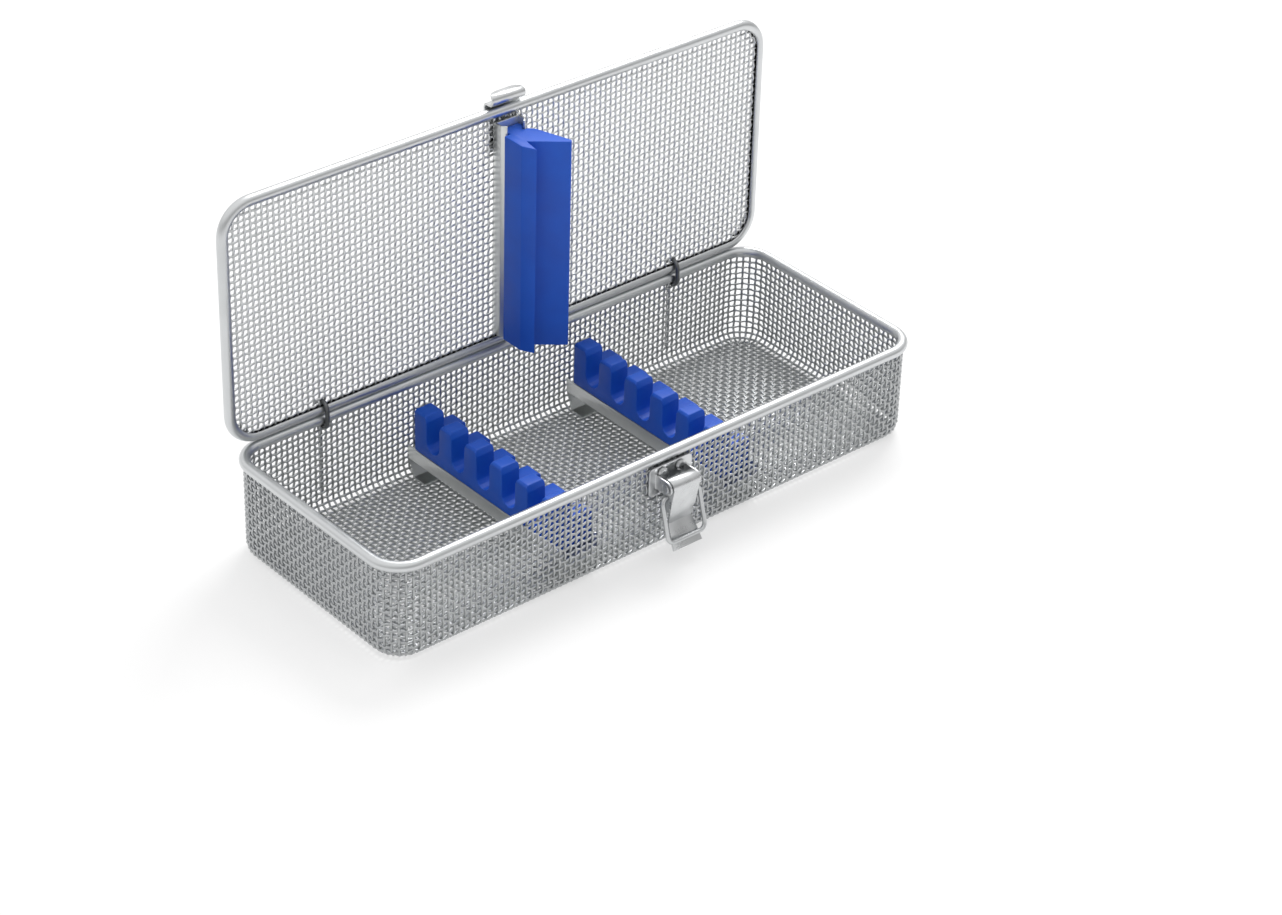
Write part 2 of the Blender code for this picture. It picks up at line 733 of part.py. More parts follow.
# Instrument rack: two silicone combs, each on a raised steel rail with feet on the floor
comb_spacing = 91 * MM
rail_width = 22 * MM
rail_bottom_z = 11.5 * MM
rail_lip_height = 6.5 * MM
rail_end_gap = 1.8 * MM
rail_foot_slope = 4 * MM
rail_foot_length = 8 * MM
comb_end_gap = 5.7 * MM
comb_slots = 5
comb_slot_width = 9 * MM
comb_slot_flare = 1.5 * MM
comb_end_tooth = 8.6 * MM
comb_height = 26.5 * MM
comb_step_height = 16 * MM
comb_tall_width = 10 * MM
comb_slot_floor = 9.5 * MM
comb_edge = 1 * MM

rail_half_length = wall_y - net_half - rail_end_gap
comb_half_length = rail_half_length - comb_end_gap
comb_pitch = (2 * (comb_half_length - comb_end_tooth) - comb_slot_width) / (comb_slots - 1)
rail_mid_z = rail_bottom_z + half_sheet
comb_bottom_z = rail_bottom_z + sheet_thickness + clearance


def rail_mesh(name):
    """The rail's sheet: a channel with its ends turned down into feet."""
    half = rail_width / 2 - half_sheet
    lip_z = rail_bottom_z + rail_lip_height
    foot_z = floor_top_z + clearance + half_sheet
    end = rail_half_length - half_sheet
    heel = rail_half_length - rail_foot_slope
    path = [(heel - rail_foot_length, foot_z), (heel, foot_z), (end, rail_mid_z)]
    path += [(-y, z) for y, z in reversed(path)]

    def build(shape):
        left = [shape.verts.new((-half, y, z)) for y, z in path]
        right = [shape.verts.new((half, y, z)) for y, z in path]
        for i in range(len(path) - 1):
            shape.faces.new((left[i], right[i], right[i + 1], left[i + 1]))
        for side in (left, right):
            lip = [shape.verts.new((side[i].co.x, side[i].co.y, lip_z)) for i in (2, 3)]
            shape.faces.new((side[2], side[3], lip[1], lip[0]))
    return mesh_of(name, build)


def comb_section():
    """End view of a comb in X and Z: foot between the rail's lips, tall side and low step."""
    half = rail_width / 2
    foot = half - sheet_thickness - clearance
    shoulder = comb_bottom_z + rail_lip_height - sheet_thickness
    top = comb_bottom_z + comb_height
    step = comb_bottom_z + comb_step_height
    wall = -half + comb_tall_width
    return [(-foot, comb_bottom_z), (foot, comb_bottom_z), (foot, shoulder), (half, shoulder),
            (half, step - comb_edge), (half - comb_edge, step), (wall, step),
            (wall, top - comb_edge), (wall - comb_edge, top), (-half + comb_edge, top),
            (-half, top - comb_edge), (-half, shoulder), (-foot, shoulder)]


def comb_outline():
    """Side view of a comb in Y and Z, with its row of round-bottomed slots."""
    top = comb_bottom_z + comb_height + overrun
    low = comb_bottom_z - overrun
    half_slot = comb_slot_width / 2
    floor = comb_bottom_z + comb_slot_floor + half_slot
    flare_z = comb_bottom_z + comb_height - 2 * comb_slot_flare
    points = [(-comb_half_length, low), (-comb_half_length, top)]
    for slot in range(comb_slots):
        middle = (slot - (comb_slots - 1) / 2) * comb_pitch
        points += [(middle - half_slot - comb_slot_flare, top), (middle - half_slot, flare_z)]
        points += arc((middle, floor), half_slot, 180, 360, 6)
        points += [(middle + half_slot, flare_z), (middle + half_slot + comb_slot_flare, top)]
    return points + [(comb_half_length, top), (comb_half_length, low)]


def build_rack():
    """Both rails and both combs."""
    reach = rail_width / 2 + overrun
    for side, x in (("left", -comb_spacing / 2), ("right", comb_spacing / 2)):
        rail_name = "comb_rail_" + side
        rail = add_piece(rail_name, rail_mesh(rail_name), STEEL)
        thicken(rail, sheet_thickness)
        guide = add_cutter("comb_slots_guide_" + side,
                           prism_mesh("comb_slots_guide_" + side, comb_outline(), across_x,
                                      -reach, reach))
        comb_name = "comb_" + side
        comb = add_piece(comb_name, prism_mesh(comb_name, comb_section(), across_y,
                                               -comb_half_length - overrun,
                                               comb_half_length + overrun), SILICONE)
        cut(comb, guide, "INTERSECT")
        for placed in (rail, guide, comb):
            placed.location.x = x


def add_pivot(name, y, z, parent=None):
    """An empty on a joint's axis."""
    pivot = bpy.data.objects.new(name, None)
    bpy.context.scene.collection.objects.link(pivot)
    pivot.parent = parent
    pivot.location = (0, y, z)
    return pivot


clear_scene()
lid_pivot = add_pivot("lid_pivot", lid_axis_y, lid_axis_z)
lid_pivot.rotation_euler.x = -lid_open_angle
lever_pivot = add_pivot("lever_pivot", latch_pivot_y, latch_pivot_z)
bail_pivot = add_pivot("bail_pivot", bail_pivot_inset, -bail_pivot_drop, lever_pivot)
build_tray()
build_hinges()
build_latch_base()
build_lever(lever_pivot)
build_bail(bail_pivot)
build_lid(lid_pivot)
build_rack()
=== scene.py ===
"""Dental instrument cassette, open: woven wire tray and lid, toggle latch, silicone combs."""

import math

import bmesh
import bpy
from mathutils import Matrix, Vector


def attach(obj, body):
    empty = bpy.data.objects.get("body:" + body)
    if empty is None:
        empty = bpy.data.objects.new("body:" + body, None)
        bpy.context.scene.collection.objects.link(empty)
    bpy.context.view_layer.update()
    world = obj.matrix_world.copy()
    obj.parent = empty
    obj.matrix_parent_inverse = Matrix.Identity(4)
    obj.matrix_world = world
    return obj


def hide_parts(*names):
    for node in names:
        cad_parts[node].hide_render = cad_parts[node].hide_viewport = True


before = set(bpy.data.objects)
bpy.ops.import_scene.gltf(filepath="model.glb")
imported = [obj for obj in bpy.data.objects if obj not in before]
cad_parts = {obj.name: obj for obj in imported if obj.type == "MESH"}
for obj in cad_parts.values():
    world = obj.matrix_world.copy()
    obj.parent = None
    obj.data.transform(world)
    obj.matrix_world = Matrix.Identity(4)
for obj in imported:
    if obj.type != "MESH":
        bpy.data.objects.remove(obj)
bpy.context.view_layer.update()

# Side wall of the tray. Real piece: plain-woven stainless wire cloth, about 3 mm pitch, pressed
# in one with the floor, so the wires fan round the corners and run on round the bottom bend.
MM = 0.001
wire_diameter = 1.15 * MM
crimp = 0.42 * MM
wire_sides = 6
wall_x, wall_y = 147.5 * MM, 56.5 * MM
corner_radius = 14 * MM
straight_x, straight_y = wall_x - corner_radius, wall_y - corner_radius
bend_radius = 5.5 * MM
floor_z = crimp + wire_diameter / 2
wall_top_z = 48 * MM
hinge_x = 100 * MM
steps_x, steps_y, steps_corner, steps_bend, steps_up = 90, 28, 7, 3, 14
steps_between_hinges = 67
steps_round = 2 * (steps_x + steps_y) + 4 * steps_corner


def add_node(tree, kind, settings=None, links=None):
    """Adds one node. Settings are its own properties or input values, links are its inputs."""
    node = tree.nodes.new(kind)
    settings = settings or {}
    own = [key for key in settings if isinstance(key, str) and key[0].islower()]
    for key in own:
        setattr(node, key, settings[key])
    for key, value in settings.items():
        if key not in own:
            node.inputs[key].default_value = value
    for key, source in (links or {}).items():
        tree.links.new(source, node.inputs[key])
    return node


def from_hex(code):
    """An sRGB hex colour as linear RGBA."""
    channels = [int(code[i:i + 2], 16) / 255 for i in (1, 3, 5)]
    return [c / 12.92 if c <= 0.04045 else ((c + 0.055) / 1.055) ** 2.4 for c in channels] + [1.0]


def start_material(name, colour, metallic, roughness):
    """A material with one Principled shader, and its Object coordinates to hang patterns on."""
    material = bpy.data.materials.new(name)
    material.use_nodes = True
    tree = material.node_tree
    shader = tree.nodes["Principled BSDF"]
    shader.inputs["Base Color"].default_value = from_hex(colour)
    shader.inputs["Metallic"].default_value = metallic
    shader.inputs["Roughness"].default_value = roughness
    place = add_node(tree, "ShaderNodeTexCoord").outputs["Object"]
    return material, tree, shader, place


def drawn_wire_steel(name, dark, light):
    """Drawn stainless wire, electropolished: bright with a faint grey patchiness from the bath."""
    # The grain of the drawing die is far finer, and is drawn as coarse as it needs to show
    patch_width, grain_width = 16.7 * MM, 0.71 * MM
    material, tree, shader, place = start_material(name, light, 1.0, 0.3)
    patches = add_node(tree, "ShaderNodeTexNoise", {"Scale": 1 / patch_width, "Detail": 2.0},
                       {"Vector": place})
    grain = add_node(tree, "ShaderNodeTexNoise", {"Scale": 1 / grain_width, "Detail": 1.0},
                     {"Vector": place})
    both = add_node(tree, "ShaderNodeMix", {"data_type": "FLOAT", 0: 0.5},
                    {2: patches.outputs["Fac"], 3: grain.outputs["Fac"]})
    tone = add_node(tree, "ShaderNodeMix",
                    {"data_type": "RGBA", 6: from_hex(dark), 7: from_hex(light)},
                    {0: both.outputs[0]})
    tree.links.new(tone.outputs[2], shader.inputs["Base Color"])
    rough = add_node(tree, "ShaderNodeMapRange", {"To Min": 0.22, "To Max": 0.42},
                     {"Value": grain.outputs["Fac"]})
    tree.links.new(rough.outputs["Result"], shader.inputs["Roughness"])
    return material


def start_tree(name, inputs):
    """A geometry tree with a Geometry input and output and the named inputs."""
    tree = bpy.data.node_groups.new(name, "GeometryNodeTree")
    tree.interface.new_socket("Geometry", in_out="INPUT", socket_type="NodeSocketGeometry")
    for label, kind in inputs.items():
        tree.interface.new_socket(label, in_out="INPUT", socket_type="NodeSocket" + kind)
    tree.interface.new_socket("Geometry", in_out="OUTPUT", socket_type="NodeSocketGeometry")
    return tree, add_node(tree, "NodeGroupInput").outputs


def end_tree(tree, geometry, material):
    """Ends a tree in plain, smooth, finished geometry."""
    smooth = add_node(tree, "GeometryNodeSetShadeSmooth", {}, {"Geometry": geometry})
    real = add_node(tree, "GeometryNodeRealizeInstances", {}, {"Geometry": smooth.outputs[0]})
    painted = add_node(tree, "GeometryNodeSetMaterial", {},
                       {"Geometry": real.outputs[0], "Material": material})
    add_node(tree, "NodeGroupOutput", {}, {"Geometry": painted.outputs[0]})


def put_in_scene(name, mesh):
    """A new object at the origin."""
    piece = bpy.data.objects.new(name, mesh)
    bpy.context.scene.collection.objects.link(piece)
    return piece


def grow(name, carrier, tree, values):
    """Runs a tree on a carrier mesh and keeps what it makes as a plain mesh."""
    piece = put_in_scene(name, carrier)
    modifier = piece.modifiers.new(tree.name, "NODES")
    modifier.node_group = tree
    for item in tree.interface.items_tree:
        if item.in_out == "INPUT" and item.name in values:
            modifier[item.identifier] = values[item.name]
    bpy.context.view_layer.update()
    graph = bpy.context.evaluated_depsgraph_get()
    made = bpy.data.meshes.new_from_object(piece.evaluated_get(graph))
    piece.modifiers.remove(modifier)
    piece.data = made
    made.name = name
    bpy.data.meshes.remove(carrier)
    return piece


def hand_over(piece, body, slot, *nodes):
    """The piece moves with its body and stands for its CAD nodes."""
    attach(piece, body)
    if nodes:
        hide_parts(*nodes)


# The cloth tree: each carrier line is one wire, lifted over and pushed under the wires it meets
cloth, given = start_tree("woven_wire_cloth", {"Wire diameter": "Float", "Crimp": "Float",
                                               "Sides": "Int", "Finish": "Material"})
swings = []
for label in ("across", "along"):
    step = add_node(cloth, "GeometryNodeInputNamedAttribute", {"data_type": "FLOAT", "Name": label})
    turn = add_node(cloth, "ShaderNodeMath", {"operation": "MULTIPLY", 1: math.pi / 2},
                    {0: step.outputs["Attribute"]})
    swings.append(add_node(cloth, "ShaderNodeMath", {"operation": "COSINE"}, {0: turn.outputs[0]}))
wave = add_node(cloth, "ShaderNodeMath", {"operation": "MULTIPLY"},
                {0: swings[0].outputs[0], 1: swings[1].outputs[0]})
height = add_node(cloth, "ShaderNodeMath", {"operation": "MULTIPLY"},
                  {0: wave.outputs[0], 1: given["Crimp"]})
lift = add_node(cloth, "GeometryNodeInputNamedAttribute",
                {"data_type": "FLOAT_VECTOR", "Name": "lift"})
shift = add_node(cloth, "ShaderNodeVectorMath", {"operation": "SCALE"},
                 {0: lift.outputs["Attribute"], "Scale": height.outputs[0]})
lines = add_node(cloth, "GeometryNodeMeshToCurve", {}, {"Mesh": given["Geometry"]})
woven = add_node(cloth, "GeometryNodeSetPosition", {},
                 {"Geometry": lines.outputs[0], "Offset": shift.outputs[0]})
radius = add_node(cloth, "ShaderNodeMath", {"operation": "MULTIPLY", 1: 0.5},
                  {0: given["Wire diameter"]})
ring = add_node(cloth, "GeometryNodeCurvePrimitiveCircle", {},
                {"Resolution": given["Sides"], "Radius": radius.outputs[0]})
wires = add_node(cloth, "GeometryNodeCurveToMesh", {"Fill Caps": True},
                 {"Curve": woven.outputs[0], "Profile Curve": ring.outputs[0]})
end_tree(cloth, wires.outputs[0], given["Finish"])


def carrier_mesh(name, lines):
    """Lines as a mesh of edges. A line: its points (place, across, along, lift), closed or not."""
    places, edges, across, along, lifts = [], [], [], [], []
    for points, closed in lines:
        first = len(places)
        for place, a, b, lift_way in points:
            places.append(place)
            across.append(a)
            along.append(b)
            lifts.extend(lift_way)
        edges += [(i, i + 1) for i in range(first, len(places) - 1)]
        if closed:
            edges.append((len(places) - 1, first))
    mesh = bpy.data.meshes.new(name)
    mesh.from_pydata(places, edges, [])
    for label, kind, key, values in (("across", "FLOAT", "value", across),
                                     ("along", "FLOAT", "value", along),
                                     ("lift", "FLOAT_VECTOR", "vector", lifts)):
        mesh.attributes.new(label, kind, "POINT").data.foreach_set(key, values)
    return mesh


def wire_x(step):
    """Where the wire of that number stands along X: spaced so that each hinge sits in a gap."""
    inner = (steps_between_hinges + 1) / 2
    inner_pitch = 2 * hinge_x / steps_between_hinges
    outer_pitch = (straight_x - inner * inner_pitch) / (steps_x / 2 - inner)
    size = abs(step)
    reach = size * inner_pitch if size <= inner else (
        inner * inner_pitch + (size - inner) * outer_pitch)
    return math.copysign(reach, step)


def round_the_tray(step):
    """Place on the wall's plan line and the way out of the tray, from the front left end."""
    step %= steps_round
    run = 0
    for side, count, corner in ((0, steps_x, (1, -1)), (1, steps_y, (1, 1)),
                                (2, steps_x, (-1, 1)), (3, steps_y, (-1, -1))):
        if step <= run + count:
            part = step - run - count / 2
            if side % 2 == 0:
                sign = 1 - side
                return Vector((sign * wire_x(part), -sign * wall_y, 0)), Vector((0, -sign, 0))
            sign = 2 - side
            return (Vector((sign * wall_x, sign * part / steps_y * 2 * straight_y, 0)),
                    Vector((sign, 0, 0)))
        run += count
        if step <= run + steps_corner:
            angle = math.pi / 2 * (side - 1 + (step - run) / steps_corner)
            way = Vector((math.cos(angle), math.sin(angle), 0))
            centre = Vector((corner[0] * straight_x, corner[1] * straight_y, 0))
            return centre + way * corner_radius, way
        run += steps_corner
    raise ValueError("no such wire")


def up_the_wall(half_step):
    """How far in, how high and which way out, for a half step up from the floor's edge."""
    if half_step <= 2 * steps_bend:
        angle = math.pi / 2 * half_step / (2 * steps_bend)
        return (bend_radius * (1 - math.sin(angle)), floor_z + bend_radius * (1 - math.cos(angle)),
                math.sin(angle), -math.cos(angle))
    share = (half_step - 2 * steps_bend) / (2 * steps_up)
    return 0, floor_z + bend_radius + share * (wall_top_z - floor_z - bend_radius), 1, 0


def wall_point(half_round, half_up, side):
    """One carrier point. Side tells the two families of wires apart, as it turns the wave over."""
    plan, out = round_the_tray(half_round / 2)
    inset, z, flat, down = up_the_wall(half_up)
    lift_way = side * (out * flat + Vector((0, 0, down)))
    return plan - out * inset + Vector((0, 0, z)), half_round, half_up, lift_way


wall_rows = steps_bend + steps_up
mesh_finish = drawn_wire_steel("drawn_stainless_wire", "#A6A8A9", "#C8CACB")
uprights = [([wall_point(2 * i, t, -1) for t in range(2 * wall_rows + 1)], False)
            for i in range(steps_round)]
rings = [([wall_point(s, 2 * j, 1) for s in range(2 * steps_round)], True)
         for j in range(wall_rows)]
cloth_values = {"Wire diameter": wire_diameter, "Crimp": crimp, "Sides": wire_sides,
                "Finish": mesh_finish}
for name, lines in (("tray_wall_uprights", uprights), ("tray_wall_rings", rings)):
    hand_over(grow(name, carrier_mesh(name, lines), cloth, cloth_values),
              "tray", "woven_mesh", "tray_wall_mesh")

# Floor of the tray. Real piece: the same cloth, straight wires both ways, running on into the
# wall's wires at the foot of the bend.
floor_x, floor_y = wall_x - bend_radius, wall_y - bend_radius
floor_corner = corner_radius - bend_radius


def spaced(half_step, straight, steps, pitch):
    """Place of a half step on a line that has even steps up to the straight's end, then a pitch."""
    inner = steps / 2
    size = abs(half_step) / 2
    if size > inner:
        return math.copysign(straight + (size - inner) * pitch, half_step)
    if straight == straight_x:
        return wire_x(half_step / 2)
    return half_step / 2 / inner * straight


def reach_at(place, half_across, half_along, radius):
    """Half the length of a panel with round corners, at one place across it."""
    past = abs(place) - (half_across - radius)
    if past <= 0:
        return half_along
    return half_along - radius + math.sqrt(max(0.0, radius ** 2 - past ** 2))


def panel_wires(half_x, half_y, radius, pitch, count_x, count_y, put):
    """Both families of wires of a flat panel with round corners, clipped at its outline.

    It is longer along X, so one step past the last wire there is past the outline both ways.
    """
    def x_at(half_step):
        return spaced(half_step, straight_x, steps_x, pitch)

    def y_at(half_step):
        return spaced(half_step, straight_y, steps_y, pitch)

    found = []
    furthest = 2 * (count_x + 1)
    for mine, other, count, limits, side in (
            (x_at, y_at, count_x, (half_x, half_y), -1),
            (y_at, x_at, count_y, (half_y, half_x), 1)):
        for k in range(-count, count + 1):
            fixed = mine(2 * k)
            end = reach_at(fixed, *limits, radius)
            inside = [h for h in range(-furthest, furthest + 1) if abs(other(h)) < end - pitch / 8]
            last = inside[-1]
            stretch = (end - other(last)) / (other(last + 1) - other(last))
            steps = [-last - stretch] + inside + [last + stretch]
            spots = [-end] + [other(h) for h in inside] + [end]
            line = []
            for h, spot in zip(steps, spots):
                x, y = (fixed, spot) if side == -1 else (spot, fixed)
                a, b = (2 * k, h) if side == -1 else (h, 2 * k)
                line.append(put(x, y, a, b, side))
            found.append((line, False))
    return found


def floor_point(x, y, across, along, side):
    """A carrier point on the floor; its way out is down."""
    return (x, y, floor_z), across, along, (0, 0, -side)


floor_pitch = (floor_x - straight_x) / steps_bend
floor_wires = panel_wires(floor_x, floor_y, floor_corner, floor_pitch,
                          steps_x // 2 + steps_bend - 1, steps_y // 2 + steps_bend - 1, floor_point)
floor_carrier = carrier_mesh("tray_floor_wires", floor_wires)
hand_over(grow("tray_floor_wires", floor_carrier, cloth, cloth_values),
          "tray", "woven_mesh", "tray_floor_mesh")

# Lid panel. Real piece: a flat sheet of the same cloth, with its edge in the rim. Its wire colour
# is a lighter copy of the tray's, painted light for the light on the upright lid. The row of gaps
# next to the rear rim is left wide for the hinge wires.
lid_axis_y, lid_axis_z = wall_y, 52.8 * MM
lid_end_pitch = 2.9 * MM
lid_wires_x, lid_wires_y = 49, 18
lid_edge_past_rim_centre = 0.5 * MM


def on_open_lid(x, y, z):
    """A point drawn on the shut lid, moved to where it is with the lid upright."""
    return x, lid_axis_y + z, lid_axis_z - y


def lid_point(x, y, across, along, side):
    """A carrier point on the lid; its way out is to the back while the lid stands open."""
    return on_open_lid(x, y - wall_y, 0), across, along, (0, side, 0)


lid_wires = panel_wires(wall_x + lid_edge_past_rim_centre, wall_y + lid_edge_past_rim_centre,
                        corner_radius + lid_edge_past_rim_centre, lid_end_pitch,
                        lid_wires_x, lid_wires_y, lid_point)
# Painted light: the lid's wire is a lighter copy of the same wire colour
lid_painted_light_finish = drawn_wire_steel("drawn_stainless_wire_lid_painted_light", "#CACCCD", "#E6E7E8")
hand_over(grow("lid_wires", carrier_mesh("lid_wires", lid_wires), cloth,
               {**cloth_values, "Finish": lid_painted_light_finish}), "lid", "woven_mesh", "lid_mesh")

# Rims of the tray and the lid. Real piece: a band of polished stainless sheet rolled round the
# cut edge of the cloth, with its slot on the cloth's side, so a dark line runs beside it: real
# shade in the slot, made darker by the band's inside, which is painted dark as shade.
rim_radius = 2.5 * MM
rim_sheet = 0.6 * MM
rim_slot = 3.4 * MM
tray_rim_z = 47.5 * MM
arc_points, rim_corner_steps = 22, 10

band, given = start_tree("rolled_band", {"Radius": "Float", "Slot turn": "Float",
                                         "Slot width": "Float", "Finish": "Material"})
share = add_node(band, "ShaderNodeMath", {"operation": "DIVIDE"},
                 {0: given["Slot width"], 1: given["Radius"]})
opening = add_node(band, "ShaderNodeMath", {"operation": "MULTIPLY", 1: 0.5},
                   {0: share.outputs[0]})
start = add_node(band, "ShaderNodeMath", {"operation": "ADD"},
                 {0: given["Slot turn"], 1: opening.outputs[0]})
sweep = add_node(band, "ShaderNodeMath", {"operation": "SUBTRACT", 0: 2 * math.pi},
                 {1: share.outputs[0]})
arc = add_node(band, "GeometryNodeCurveArc", {"Resolution": arc_points},
               {"Radius": given["Radius"], "Start Angle": start.outputs[0],
                "Sweep Angle": sweep.outputs[0]})
path = add_node(band, "GeometryNodeMeshToCurve", {}, {"Mesh": given["Geometry"]})
level = add_node(band, "GeometryNodeSetCurveNormal", {"mode": "Z_UP"}, {"Curve": path.outputs[0]})
rolled = add_node(band, "GeometryNodeCurveToMesh", {},
                  {"Curve": level.outputs[0], "Profile Curve": arc.outputs[0]})
end_tree(band, rolled.outputs[0], given["Finish"])


def rim_path(name):
    """The rim's middle line on the XY plane, as a closed mesh of edges."""
    points = []
    for i, (sx, sy) in enumerate(((1, 1), (-1, 1), (-1, -1), (1, -1))):
        for s in range(rim_corner_steps + 1):
            angle = math.pi / 2 * (i + s / rim_corner_steps)
            points.append((sx * straight_x + corner_radius * math.cos(angle),
                           sy * straight_y + corner_radius * math.sin(angle), 0))
    mesh = bpy.data.meshes.new(name)
    mesh.from_pydata(points, [(i, (i + 1) % len(points)) for i in range(len(points))], [])
    return mesh


def polished_band_steel():
    """Polished stainless band: bright and clean, with hair-fine rubbing marks and faint smears."""
    # The rubbing marks are drawn as coarse as they need to show
    smear_width, mark_width = 11.1 * MM, 3.85 * MM
    material, tree, shader, place = start_material("polished_stainless_band", "#D2D4D5", 1.0, 0.34)
    smear = add_node(tree, "ShaderNodeTexNoise", {"Scale": 1 / smear_width, "Detail": 3.0},
                     {"Vector": place})
    rough = add_node(tree, "ShaderNodeMapRange",
                     {"From Min": 0.35, "From Max": 0.7, "To Min": 0.28, "To Max": 0.42},
                     {"Value": smear.outputs["Fac"]})
    tree.links.new(rough.outputs["Result"], shader.inputs["Roughness"])
    marks = add_node(tree, "ShaderNodeTexNoise", {"Scale": 1 / mark_width, "Detail": 2.0},
                     {"Vector": place})
    bump = add_node(tree, "ShaderNodeBump", {"Strength": 0.12, "Distance": 0.2 * MM},
                    {"Height": marks.outputs["Fac"]})
    tree.links.new(bump.outputs["Normal"], shader.inputs["Normal"])
    return material


def band_inside_shade_steel():
    """The inside of a rolled band, painted dark grey as shade in the slot, with random blotches."""
    blotch_width = 2 * MM
    material, tree, shader, place = start_material("band_inside_painted_shade",
                                                   "#5C5D5E", 1.0, 0.6)
    blotches = add_node(tree, "ShaderNodeTexNoise", {"Scale": 1 / blotch_width, "Detail": 2.0},
                        {"Vector": place})
    tone = add_node(tree, "ShaderNodeMix",
                    {"data_type": "RGBA", 6: from_hex("#48494A"), 7: from_hex("#6C6D6E")},
                    {0: blotches.outputs["Fac"]})
    tree.links.new(tone.outputs[2], shader.inputs["Base Color"])
    return material


rim_finish = polished_band_steel()
rim_inside_painted_shade = band_inside_shade_steel()
for name, slot_turn, body, matrix in (
        ("tray_rim_band", math.pi / 2, "tray", Matrix.Translation((0, 0, tray_rim_z))),
        ("lid_rim_band", math.pi, "lid", Matrix.Translation((0, lid_axis_y, lid_axis_z + wall_y))
         @ Matrix.Rotation(-math.pi / 2, 4, "X"))):
    rim = grow(name, rim_path(name), band, {"Radius": rim_radius, "Slot turn": slot_turn,
                                            "Slot width": rim_slot, "Finish": rim_finish})
    rim.data.transform(matrix)
    wall = rim.modifiers.new("sheet", "SOLIDIFY")
    wall.thickness = rim_sheet
    wall.offset = -1
    # The band's inside gets the dark painted-shade material
    rim.data.materials.append(rim_inside_painted_shade)
    wall.material_offset = 1
    hand_over(rim, body, "polished_rim", body + "_rim")

# Hinge loops. Real piece: a spring-hard steel wire, drawn, bent round both rims through the
# cloth, with its tail running down the back of the wall. Its wire colour is darkened as painted
# shade, for the shade at the back of the tray under the lid.
hinge_wire = 2 * MM
hinge_clearance = 0.3 * MM
hinge_reach = rim_radius + hinge_clearance + hinge_wire / 2
hinge_tail_y = 58.5 * MM
hinge_tail_foot_z, hinge_jog_z = 9 * MM, 39 * MM
lid_loop_arc, tray_loop_arc = (0, 180, 16), (180, 275, 9)
bent_corner, bent_corner_steps, bent_sides = 3 * MM, 6, 14

bent, given = start_tree("bent_wire", {"Diameter": "Float", "Corner radius": "Float",
                                       "Sides": "Int", "Finish": "Material"})
path = add_node(bent, "GeometryNodeMeshToCurve", {}, {"Mesh": given["Geometry"]})
eased = add_node(bent, "GeometryNodeFilletCurve",
                 {"mode": "POLY", "Count": bent_corner_steps, "Limit Radius": True},
                 {"Curve": path.outputs[0], "Radius": given["Corner radius"]})
radius = add_node(bent, "ShaderNodeMath", {"operation": "MULTIPLY", 1: 0.5},
                  {0: given["Diameter"]})
ring = add_node(bent, "GeometryNodeCurvePrimitiveCircle", {},
                {"Resolution": given["Sides"], "Radius": radius.outputs[0]})
wire = add_node(bent, "GeometryNodeCurveToMesh", {"Fill Caps": True},
                {"Curve": eased.outputs[0], "Profile Curve": ring.outputs[0]})
end_tree(bent, wire.outputs[0], given["Finish"])


def line_mesh(name, points):
    """An open line as a mesh of edges."""
    mesh = bpy.data.meshes.new(name)
    mesh.from_pydata(points, [(i, i + 1) for i in range(len(points) - 1)], [])
    return mesh


def turn_points(centre_y, centre_z, radius, start, end, steps):
    """Points on an arc in Y and Z, angles in degrees from +Y towards +Z."""
    angles = [math.radians(start + (end - start) * s / steps) for s in range(steps + 1)]
    return [(centre_y + radius * math.cos(a), centre_z + radius * math.sin(a)) for a in angles]


# Painted shade: the hinge wire's colour is a darker copy of the drawn wire
hinge_painted_shade_finish = drawn_wire_steel("drawn_wire_painted_shade", "#606264", "#808284")
hinge_line = [(hinge_tail_y, hinge_tail_foot_z), (hinge_tail_y, hinge_jog_z),
              (lid_axis_y + hinge_reach, tray_rim_z - rim_radius)]
hinge_line += turn_points(lid_axis_y, lid_axis_z, hinge_reach, *lid_loop_arc)
hinge_line += turn_points(wall_y, tray_rim_z, hinge_reach, *tray_loop_arc)
for name, x in (("hinge_loop_left", -hinge_x), ("hinge_loop_right", hinge_x)):
    loop = grow(name + "_wire", line_mesh(name, [(x, y, z) for y, z in hinge_line]), bent,
                {"Diameter": hinge_wire, "Corner radius": bent_corner, "Sides": bent_sides,
                 "Finish": hinge_painted_shade_finish})
    hand_over(loop, "tray", "bright_wire", name)

# Latch. Real piece: pressed stainless parts, tumbled so that their edges are soft: a base plate
# with two ears, a plate inside the cloth, four rivets, a pin and the lever with its turned-out
# lip. The rivets and the pin are the plain pieces with a finish on them.
sheet_edge = 0.25 * MM
same_point, flat_angle = 0.002 * MM, math.radians(2)


def softened_copy(name, node, width, segments=2, sharp=35):
    """A merged copy of a CAD node with its edges rounded over."""
    shape = bmesh.new()
    shape.from_mesh(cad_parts[node].data)
    bmesh.ops.remove_doubles(shape, verts=shape.verts, dist=same_point)
    bmesh.ops.dissolve_limit(shape, angle_limit=flat_angle, verts=shape.verts, edges=shape.edges)
    mesh = bpy.data.meshes.new(name)
    shape.to_mesh(mesh)
    shape.free()
    piece = put_in_scene(name, mesh)
    soft = piece.modifiers.new("soft_edges", "BEVEL")
    soft.width = width
    soft.segments = segments
    soft.limit_method = "ANGLE"
    soft.angle_limit = math.radians(sharp)
    soft.harden_normals = True
    mesh.shade_smooth()
    return piece


